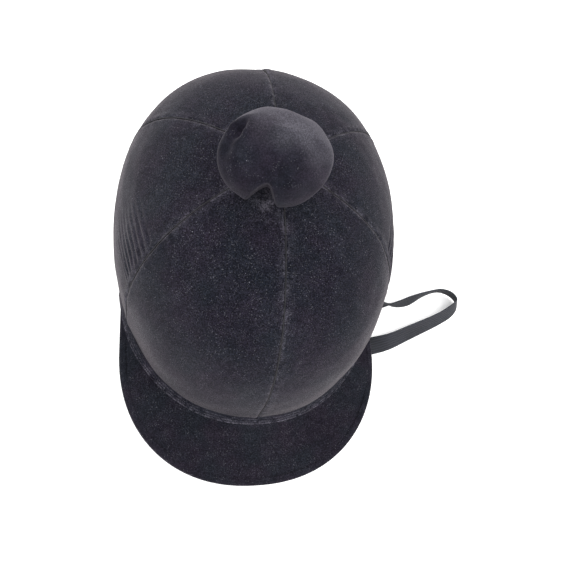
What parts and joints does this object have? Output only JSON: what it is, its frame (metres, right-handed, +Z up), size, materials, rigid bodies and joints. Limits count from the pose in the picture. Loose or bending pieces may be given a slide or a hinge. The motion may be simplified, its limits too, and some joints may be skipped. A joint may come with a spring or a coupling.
{
  "type": "equestrian riding helmet",
  "caption": "Black velvet-covered riding helmet with gored crown, stiff peak, soft pompom, padded impact liner and webbing chin strap with side-release buckle.",
  "frame": {"origin": "centre of the rim, on the plane that the helmet stands on", "axes": "+Z up through the crown, -Y forwards along the peak, +X to the wearer's left"},
  "size_m": [0.3116, 0.328, 0.225],
  "materials": {
    "velvet": "black cotton velvet with a short upright pile",
    "peak_velvet": "black velvet stretched flat over the peak",
    "pompom_velvet": "black velvet, soft and creased",
    "shell_plastic": "moulded glass-filled plastic, black",
    "impact_foam": "expanded polystyrene bead foam, dark grey",
    "trim_rubber": "soft extruded rim trim",
    "lining_cloth": "brushed knit lining",
    "sweatband_cloth": "terry sweatband",
    "pad_cloth": "knit cloth over foam",
    "tab_plastic": "tough moulded nylon",
    "bright_metal": "nickel-plated steel wire and rivets",
    "tape_cloth": "woven cotton tape",
    "elastic": "ribbed elastic",
    "peak_board": "stiff flexible plastic board",
    "under_cloth": "plain woven lining",
    "wadding": "loose polyester wadding",
    "thread": "waxed thread",
    "webbing": "ribbed nylon webbing, dark slate",
    "buckle_plastic": "moulded acetal"
  },
  "bodies": {
    "skull": {"outer_shell": "shell_plastic", "impact_liner": "impact_foam", "rim_trim": "trim_rubber", "lining_cloth": "lining_cloth", "sweatband": "sweatband_cloth", "front_head_pad": "pad_cloth", "rear_head_pad": "pad_cloth", "side_head_pad_left": "pad_cloth", "side_head_pad_right": "pad_cloth", "crown_pad": "pad_cloth", "harness_tab_left": "tab_plastic", "harness_tab_right": "tab_plastic", "harness_rivets": "bright_metal", "rivet_washers": "bright_metal"},
    "cover": {"gore_front_left": "velvet", "gore_front_right": "velvet", "gore_side_left": "velvet", "gore_side_right": "velvet", "gore_rear_left": "velvet", "gore_rear_right": "velvet", "seam_tapes": "tape_cloth", "side_elastic_left": "elastic", "side_elastic_right": "elastic", "hem_elastic": "elastic", "peak_top_cloth": "peak_velvet", "peak_board": "peak_board", "peak_under_cloth": "under_cloth", "peak_edge_binding": "peak_velvet", "brim_band": "peak_velvet", "crown_button": "velvet"},
    "pompom_shank": {"pompom_knot": "thread"},
    "pompom": {"pompom_skin": "pompom_velvet", "pompom_wadding": "wadding", "pompom_tie": "thread"},
    "left_strap": {"strap_ring_left": "bright_metal", "chin_strap_left": "webbing", "buckle_socket": "buckle_plastic"},
    "right_strap": {"strap_ring_right": "bright_metal", "chin_strap_right": "webbing", "buckle_plug": "buckle_plastic"},
    "front_prong": {"buckle_prong_front": "buckle_plastic"},
    "rear_prong": {"buckle_prong_rear": "buckle_plastic"},
    "keeper": {"strap_keeper": "elastic"}
  },
  "joints": [
    {"name": "cover_lift", "type": "slide", "parent": "skull", "child": "cover", "axis": [0, 0, 1], "range_m": [0, 0.19]},
    {"name": "pompom_nod", "type": "hinge", "parent": "cover", "child": "pompom_shank", "pos_m": [0, 0, 0.1686], "axis": [1, 0, 0], "range_deg": [-45, 3]},
    {"name": "pompom_sway", "type": "hinge", "parent": "pompom_shank", "child": "pompom", "pos_m": [0, 0, 0.1686], "axis": [0, 1, 0], "range_deg": [-3, 30]},
    {"name": "chin_swing_left", "type": "hinge", "parent": "skull", "child": "left_strap", "pos_m": [0.081, -0.085, 0.0032], "axis": [1, 0, 0], "range_deg": [-110, 0]},
    {"name": "chin_swing_right", "type": "hinge", "parent": "skull", "child": "right_strap", "pos_m": [-0.081, -0.085, 0.0032], "axis": [1, 0, 0], "range_deg": [-110, 0]},
    {"name": "rear_prong_squeeze", "type": "hinge", "parent": "right_strap", "child": "rear_prong", "pos_m": [-0.0143, -0.05485, 0.0042], "axis": [0, 0, 1], "range_deg": [-9, 0]},
    {"name": "front_prong_squeeze", "type": "hinge", "parent": "right_strap", "child": "front_prong", "pos_m": [-0.01166, -0.06656, 0.0042], "axis": [0, 0, 1], "range_deg": [0, 9]},
    {"name": "keeper_slide", "type": "slide", "parent": "left_strap", "child": "keeper", "axis": [0.9756, 0.2198, 0], "range_m": [-0.012, 0.03]}
  ],
  "couplings": [
    {"joint": "chin_swing_right", "follows": "chin_swing_left", "ratio": 1}
  ]
}
